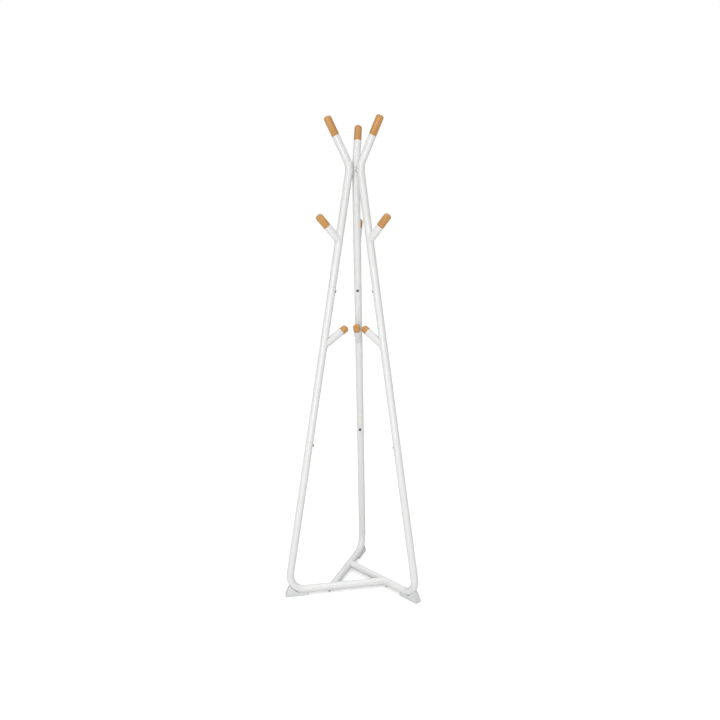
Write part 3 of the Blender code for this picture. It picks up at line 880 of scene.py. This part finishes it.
def lay_grain(tip, index, rank):
    """Where each point of a tip lies in its board: each tip is cut from another spot, turned."""
    spot = Vector((0.0039 * (index + rank), 0.0021 * (index - rank), 0.093 * (index + 3 * rank)))
    turn = Matrix.Rotation(1.9 * index + 0.8 * rank, 3, "Z")
    grain = tip.data.attributes.new("grain", "FLOAT_VECTOR", "POINT")
    for vertex, place_in_wood in zip(tip.data.vertices, grain.data):
        place_in_wood.vector = turn @ vertex.co + spot


def hexagon_bar(name, matrix, across_flats, length):
    return add_bar(name, matrix, across_flats / math.cos(math.pi / 6.0) / 2.0, length, 6)


def button_bolt(name, head, length):
    """A button-head bolt with a hexagon key socket: the head above Z = 0, the shank below."""
    bolt = add_bar(name, Matrix.Identity(4), BOLT_HEAD_RADIUS, head, 48)
    editing(bolt, "DESELECT")
    select_where(bolt, "edges", lying_at(head))
    bpy.ops.mesh.bevel(offset=head * BUTTON_ROUND, segments=8, profile=0.5)
    select_where(bolt, "faces", lying_at(0.0))
    bpy.ops.mesh.inset(thickness=BOLT_HEAD_RADIUS - BOLT_SHANK_RADIUS)
    push((0.0, 0.0, SHANK_CHAMFER - length))
    push((0.0, 0.0, -SHANK_CHAMFER))
    bpy.ops.transform.resize(value=(SHANK_END, SHANK_END, 1.0))
    close_up()
    done_editing()
    cut(bolt, hexagon_bar("socket", up(head * SOCKET_FLOOR), SOCKET_ACROSS, head))
    round_edges(bolt, BOLT_EDGE, 2, 35.0)
    smooth(bolt)
    return bolt


def make_leg_bolt(node, height):
    bolt = button_bolt(node, LEG_BOLT_HEAD, LEG_BOLT_LENGTH)
    bolt.data.transform(inward(height) @ up(TUBE_RADIUS))
    place_on_legs(bolt, node, "bolt_steel")


def bracket_blank(spare):
    """The bracket's curved plate round the next arm, grown by spare on every side."""
    inner = TUBE_RADIUS + GAP - spare
    outer = TUBE_RADIUS + GAP + BRACKET_THICKNESS + spare
    near = ARM_JOINT - BASE_BOLT_OFFSET - BRACKET_PAST_BOLT - spare
    length = BRACKET_LENGTH + 2.0 * spare
    first = BRACKET_FROM - spare / TUBE_RADIUS
    last = BRACKET_TO + spare / TUBE_RADIUS
    next_arm = NEXT_LEG @ arm_frame()
    bpy.ops.object.select_all(action="DESELECT")
    bpy.ops.mesh.primitive_plane_add(size=1.0)
    plate = named("base_bracket")
    size = Matrix.Diagonal((length, outer - inner, 1.0, 1.0))
    out = Matrix.Translation((near + length / 2.0, (inner + outer) / 2.0, 0.0))
    plate.data.transform(next_arm @ Matrix.Rotation(-first, 4, "X") @ out @ size)
    editing(plate)
    axis = next_arm.to_3x3() @ Vector((1.0, 0.0, 0.0))
    spin_round(BRACKET_STEPS, first - last, next_arm.translation, axis)
    close_up()
    cap_ends()
    done_editing()
    return plate


def make_base_bracket():
    """Curved plate on the end of a base arm, with its bolt hole."""
    bracket = bracket_blank(0.0)
    cut(bracket, add_bar("drill", base_bolt_frame(), HOLE_RADIUS, ARM_HEIGHT, DRILL_SIDES))
    round_edges(bracket, BRACKET_EDGE, 3, 50.0)
    smooth(bracket)
    place_on_legs(bracket, "base_bracket", "white_steel")


def make_base_bolt():
    bolt = button_bolt("base_bolt", LOW_HEAD, BASE_BOLT_LENGTH)
    bracket_bottom = ARM_HEIGHT - TUBE_RADIUS - GAP - BRACKET_THICKNESS
    down = up(bracket_bottom - GAP) @ Matrix.Rotation(math.pi, 4, "X")
    bolt.data.transform(base_bolt_frame() @ down)
    place_on_legs(bolt, "base_bolt", "bolt_steel")


def make_waist():
    """Three flat ears bolted together on the centre line, with a weld nut under them."""
    turn = LEG_UP.angle(TOP_END - WAIST_CORNER)
    bend_start = WAIST_CORNER - LEG_UP * (WAIST_BEND * math.tan(turn / 2.0))
    tube_axis = bend_start.x - WAIST_BEND * (1.0 - math.cos(LEG_LEAN))
    reach = tube_axis - TUBE_RADIUS - GAP
    thick = WAIST_LUG_THICKNESS
    pitch = thick + GAP
    for level, side in enumerate(LEGS):
        lug = add_bar("waist_lug", Matrix.Identity(4), WAIST_LUG_HALF_WIDTH, thick, 64)
        editing(lug, "DESELECT")
        select_where(lug, "faces", lambda f: f.normal.x > 0.2)
        push((reach, 0.0, 0.0))
        bpy.ops.transform.resize(value=(0.0, 1.0, 1.0), center_override=(reach, 0.0, 0.0))
        close_up()
        done_editing()
        cut(lug, add_bar("drill", up(-thick), HOLE_RADIUS, 3.0 * thick, DRILL_SIDES))
        round_edges(lug, LUG_EDGE, 2, 50.0)
        smooth(lug)
        seat = leg_seat(side) @ up(WAIST_LUG_HEIGHT + level * pitch)
        place(lug, f"waist_lug_{side}", "white_steel", seat)

    centre = Matrix.Translation(CENTRE_LINE)
    stack = len(LEGS) * pitch
    bolt = button_bolt("waist_bolt", LOW_HEAD, stack + NUT_HEIGHT)
    place(bolt, "waist_bolt", "plain_steel", centre @ up(WAIST_LUG_HEIGHT + stack))

    nut = hexagon_bar("waist_weld_nut", up(-NUT_HEIGHT), NUT_ACROSS_FLATS, NUT_HEIGHT)
    cut(nut, add_bar("drill", up(-2.0 * NUT_HEIGHT), HOLE_RADIUS, 3.0 * NUT_HEIGHT, 48))
    round_edges(nut, NUT_EDGE, 3, 50.0)
    smooth(nut)
    place(nut, "waist_weld_nut", "white_steel", centre @ up(WAIST_LUG_HEIGHT - GAP))


def make_foot():
    """A wedge under the bend at the bottom of a leg, hollowed to cradle the tube."""
    foot = add_ring("foot", Matrix.Identity(4), 1.0, len(FOOT_OUTLINE), "NGON")
    for vertex, (x, z) in zip(foot.data.vertices, FOOT_OUTLINE):
        vertex.co = (x, -FOOT_HALF_WIDTH, z)
    editing(foot)
    push((0.0, 2.0 * FOOT_HALF_WIDTH, 0.0))
    close_up()
    lean = math.sin(FOOT_TAPER)
    for way in (-1.0, 1.0):
        bpy.ops.mesh.select_all(action="SELECT")
        bpy.ops.mesh.bisect(
            plane_co=(0.0, way * FOOT_HALF_WIDTH, FOOT_BAND),
            plane_no=(FOOT_BAND_FALL * lean, way * math.cos(FOOT_TAPER), lean),
            use_fill=True,
            clear_outer=True,
        )
    close_up()
    done_editing()
    foot.data.transform(up(-ARM_HEIGHT) @ arm_frame())
    round_edges(foot, settings().foot_round, 4, 20.0)
    path = (on_leg(CRADLE_TOP), FOOT_CORNER, arm_point(ARM_JOINT))
    tube = drawn_tube("tube", path, FOOT_BEND, FOOT_BEND_STEPS, radius=TUBE_RADIUS + GAP)
    below = floor_under(FOOT_SCREW_AT) @ up(-FOOT_SCREW_SEAT)
    head = add_bar("drill", below, FOOT_SCREW_HEAD_RADIUS + GAP, 2.0 * FOOT_SCREW_SEAT, 40)
    shank = arm_drill(FOOT_SCREW_AT, FOOT_SCREW_RADIUS + GAP)
    cut(foot, tube, head, shank)
    smooth(foot, 32.0)
    place_on_legs(foot, "foot", "foot_plastic")


def make_foot_screw():
    """A pan-head screw with a cross recess, driven up into the base arm."""
    head = FOOT_SCREW_HEAD
    screw = add_bar("foot_screw", up(-head), FOOT_SCREW_HEAD_RADIUS, head, 40)
    editing(screw, "DESELECT")
    select_where(screw, "edges", lying_at(-head))
    bpy.ops.mesh.bevel(offset=head * SCREW_HEAD_ROUND, segments=5, profile=0.5)
    select_where(screw, "faces", lying_at(0.0))
    bpy.ops.mesh.inset(thickness=FOOT_SCREW_HEAD_RADIUS - FOOT_SCREW_RADIUS)
    push((0.0, 0.0, FOOT_SCREW_LENGTH))
    close_up()
    done_editing()
    for angle in (0.0, math.pi / 2.0):
        slot = up(-head) @ Matrix.Rotation(angle, 4, "Z")
        cut(screw, add_block("slot", slot, (*RECESS_SLOT, head)))
    smooth(screw)
    screw.data.transform(floor_under(FOOT_SCREW_AT) @ up(FOOT_SCREW_SEAT - GAP))
    place_on_legs(screw, "foot_screw", "plain_steel")


def refinish(node, finish):
    """Give a hidden CAD node its finish."""
    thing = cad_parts[node]
    for material_slot in thing.material_slots:
        material_slot.material = bpy.data.materials[finish]


# ---- studio ----


def make_studio():
    """The floor, the lights and the camera."""
    lay_floor()
    light_dome()
    bpy.ops.object.light_add(type="SUN", location=(0.0, 0.0, 4.0))
    overhead = bpy.context.object.data
    overhead.energy = OVERHEAD_STRENGTH
    overhead.angle = OVERHEAD_ANGLE
    aim = CENTRE_LINE + Vector((0.0, 0.0, LAMP_AIM_HEIGHT))
    for name, spot, size, power in LAMPS:
        add_softbox(name, Vector(spot), aim, size, power)
    set_up_camera()


def lay_floor():
    bpy.ops.object.select_all(action="DESELECT")
    bpy.ops.mesh.primitive_grid_add(x_subdivisions=8, y_subdivisions=8, size=FLOOR_SIZE)
    floor = named("studio_floor")
    floor.data.materials.append(bpy.data.materials["studio_floor"])


def light_dome():
    """A sky that is plain white to the camera and lights the rack softly, most from above."""
    world = bpy.data.worlds.new("studio")
    bpy.context.scene.world = world
    world.use_nodes = True
    tree = world.node_tree
    tree.nodes.clear()
    seen = add_node(tree, "ShaderNodeBackground", {"Color": WHITE, "Strength": 1.0})
    way = tree.nodes.new("ShaderNodeTexCoord").outputs["Generated"]
    rise = add_node(tree, "ShaderNodeSeparateXYZ", {"Vector": way}).outputs["Z"]
    dome = ranged(tree, rise, 0.0, 1.0, settings().ambient, settings().ambient_above)
    light = add_node(tree, "ShaderNodeBackground", {"Color": SKY_COLOUR, "Strength": dome})
    to_camera = tree.nodes.new("ShaderNodeLightPath").outputs["Is Camera Ray"]
    shaders = {0: to_camera, 1: light.outputs[0], 2: seen.outputs[0]}
    blend = add_node(tree, "ShaderNodeMixShader", shaders)
    out = tree.nodes.new("ShaderNodeOutputWorld")
    tree.links.new(blend.outputs[0], out.inputs["Surface"])


def set_up_camera():
    bpy.ops.object.camera_add(
        location=CENTRE_LINE + Vector(CAMERA_FROM_CENTRE_LINE),
        rotation=[math.radians(a) for a in CAMERA_TURN],
    )
    camera = bpy.context.object
    camera.data.lens = settings().lens
    camera.data.sensor_width = 36.0
    camera.data.clip_start = 0.05
    bpy.context.scene.camera = camera
    bpy.context.scene.view_settings.view_transform = "Standard"


def add_softbox(name, spot, aim, size, power):
    turn = (aim - spot).to_track_quat("-Z", "Y").to_euler()
    bpy.ops.object.light_add(type="AREA", location=spot, rotation=turn)
    lamp = bpy.context.object
    lamp.name = name
    lamp.data.shape = "RECTANGLE"
    lamp.data.size, lamp.data.size_y = size
    lamp.data.energy = power


# ---- add-on ----


def colour_setting(name, description, default):
    about = {"name": name, "description": description, "default": default}
    return FloatVectorProperty(**about, subtype="COLOR", size=3, min=0.0, max=1.0)


def length_setting(name, description, default):
    about = {"name": name, "description": description, "default": default}
    return FloatProperty(**about, min=0.0, unit="LENGTH", precision=5)


def strength_setting(name, description, default):
    return FloatProperty(name=name, description=description, default=default, min=0.0)


class CoatRackSettings(bpy.types.PropertyGroup):
    tube_sides: IntProperty(
        name="Tube sides", description="Flats round each tube", default=56, min=12, max=128
    )
    tip_sides: IntProperty(
        name="Tip sides", description="Flats round each wooden tip", default=64, min=12, max=128
    )
    tube_wall: length_setting("Tube wall", "Thickness of the tubes' wall", 0.0012)
    rim_round: length_setting("Rim rounding", "Rounding of the tubes' sawn rims", 0.0003)
    weld_bead: length_setting("Weld bead", "Radius of the weld round each peg's root", 0.0014)
    foot_round: length_setting("Foot rounding", "Rounding of the feet's moulded edges", 0.0010)
    coat_colour: colour_setting("Coat", "Colour of the powder coat", (0.72, 0.72, 0.715))
    wood_light: colour_setting("Light wood", "Pale early wood of the tips", (0.62, 0.325, 0.100))
    wood_dark: colour_setting("Dark wood", "Darker late wood of the tips", (0.44, 0.195, 0.045))
    wood_fleck: colour_setting("Ray flecks", "Short dark flecks in the wood", (0.30, 0.125, 0.04))
    foot_colour: colour_setting("Feet", "Colour of the moulded feet", (0.63, 0.63, 0.62))
    # Colour of the bolts' plating, kept very dark as a painted reflection: it stands in for the
    # dark surroundings that the shiny nickel heads mirror.
    bolt_painted_reflection: colour_setting("Bolts", "Dark nickel plating of the bolts", (0.11, 0.105, 0.10))
    floor_colour: colour_setting("Floor", "Colour of the studio floor", (0.60, 0.60, 0.60))
    floor_glow: strength_setting("Floor glow", "Light that the floor gives off itself", 0.10)
    floor_bleach: strength_setting("Floor bleach", "Extra white of the floor to the camera", 0.38)
    ambient: strength_setting("Ambient", "Strength of the light from the horizon", 0.05)
    ambient_above: strength_setting("Dome", "Strength of the light from straight above", 1.25)
    lens: FloatProperty(
        name="Lens",
        description="Focal length of the camera in millimetres",
        default=31.95,
        min=10.0,
    )


class COATRACK_OT_finishes(bpy.types.Operator):
    """Make the coat, wood, plastic and steel finishes"""

    bl_idname = "coat_rack.finishes"
    bl_label = "Finishes"

    def execute(self, context):
        make_skin_relief()
        make_handling()
        make_specks()
        make_metal_marks()
        make_white_coat()
        make_beech()
        make_foot_plastic()
        # The bolt steel gets the dark colour of a painted reflection. Real nickel is bright, and
        # the heads look dark only through what they mirror.
        bolt = settings().bolt_painted_reflection
        make_steel("bolt_steel", bolt, toned(bolt, 0.6), roughness=0.30, line_scale=2400.0)
        make_steel("plain_steel", *ZINC, roughness=0.38, line_scale=1500.0)
        make_floor_paint()
        return {"FINISHED"}


class COATRACK_OT_leg_tubes(bpy.types.Operator):
    """Draw the three lengths of tube in each leg"""

    bl_idname = "coat_rack.leg_tubes"
    bl_label = "Leg tubes"

    def execute(self, context):
        make_upper_tube()
        make_middle_tube()
        make_lower_tube()
        return {"FINISHED"}


class COATRACK_OT_pegs(bpy.types.Operator):
    """Weld the middle and low pegs to the legs"""

    bl_idname = "coat_rack.pegs"
    bl_label = "Pegs"

    def execute(self, context):
        make_peg("mid_peg", MID_PEG, MID_TIP)
        make_peg("low_peg", LOW_PEG, LOW_TIP)
        return {"FINISHED"}


class COATRACK_OT_tips(bpy.types.Operator):
    """Turn the wooden tips of the top arms and the pegs"""

    bl_idname = "coat_rack.tips"
    bl_label = "Wooden tips"

    def execute(self, context):
        make_tips("top_tip", TOP_END, TOP_END - WAIST_CORNER, TOP_TIP, 0)
        make_tips("mid_tip", MID_PEG[1], MID_PEG[1] - MID_PEG[0], MID_TIP, 1)
        make_tips("low_tip", LOW_PEG[1], LOW_PEG[1] - LOW_PEG[0], LOW_TIP, 2)
        return {"FINISHED"}


class COATRACK_OT_feet(bpy.types.Operator):
    """Mould the feet and drive their screws"""

    bl_idname = "coat_rack.feet"
    bl_label = "Feet"

    def execute(self, context):
        make_foot()
        make_foot_screw()
        return {"FINISHED"}


class COATRACK_OT_joints(bpy.types.Operator):
    """Bolt the leg seams, the base arms and the waist"""

    bl_idname = "coat_rack.joints"
    bl_label = "Joints"

    def execute(self, context):
        make_leg_bolt("upper_leg_bolt", UPPER_BOLT_HEIGHT)
        make_leg_bolt("lower_leg_bolt", LOWER_BOLT_HEIGHT)
        make_base_bracket()
        make_base_bolt()
        make_waist()
        for side in LEGS:
            for node in ("upper_sleeve", "lower_sleeve", "base_rivet_nut"):
                refinish(f"{node}_{side}", "plain_steel")
        return {"FINISHED"}


class COATRACK_OT_studio(bpy.types.Operator):
    """Lay the floor, hang the lights and set up the camera"""

    bl_idname = "coat_rack.studio"
    bl_label = "Studio"

    def execute(self, context):
        make_studio()
        return {"FINISHED"}


class COATRACK_PT_panel(bpy.types.Panel):
    """Steps that build the coat rack, in order"""

    bl_idname = "COATRACK_PT_panel"
    bl_label = "Coat Rack"
    bl_space_type = "VIEW_3D"
    bl_region_type = "UI"
    bl_category = "Coat Rack"

    def draw(self, context):
        layout = self.layout
        rack = context.scene.coat_rack
        for name in CoatRackSettings.__annotations__:
            layout.prop(rack, name)
        for step in STEPS:
            layout.operator(step.bl_idname)


STEPS = (
    COATRACK_OT_finishes,
    COATRACK_OT_leg_tubes,
    COATRACK_OT_pegs,
    COATRACK_OT_tips,
    COATRACK_OT_feet,
    COATRACK_OT_joints,
    COATRACK_OT_studio,
)


def register():
    for part in (CoatRackSettings, *STEPS, COATRACK_PT_panel):
        bpy.utils.register_class(part)
    bpy.types.Scene.coat_rack = PointerProperty(type=CoatRackSettings)


def unregister():
    del bpy.types.Scene.coat_rack
    for part in (COATRACK_PT_panel, *reversed(STEPS), CoatRackSettings):
        bpy.utils.unregister_class(part)


def main():
    register()
    bpy.ops.coat_rack.finishes()
    bpy.ops.coat_rack.leg_tubes()
    bpy.ops.coat_rack.pegs()
    bpy.ops.coat_rack.tips()
    bpy.ops.coat_rack.feet()
    bpy.ops.coat_rack.joints()
    bpy.ops.coat_rack.studio()


if __name__ == "__main__":
    main()
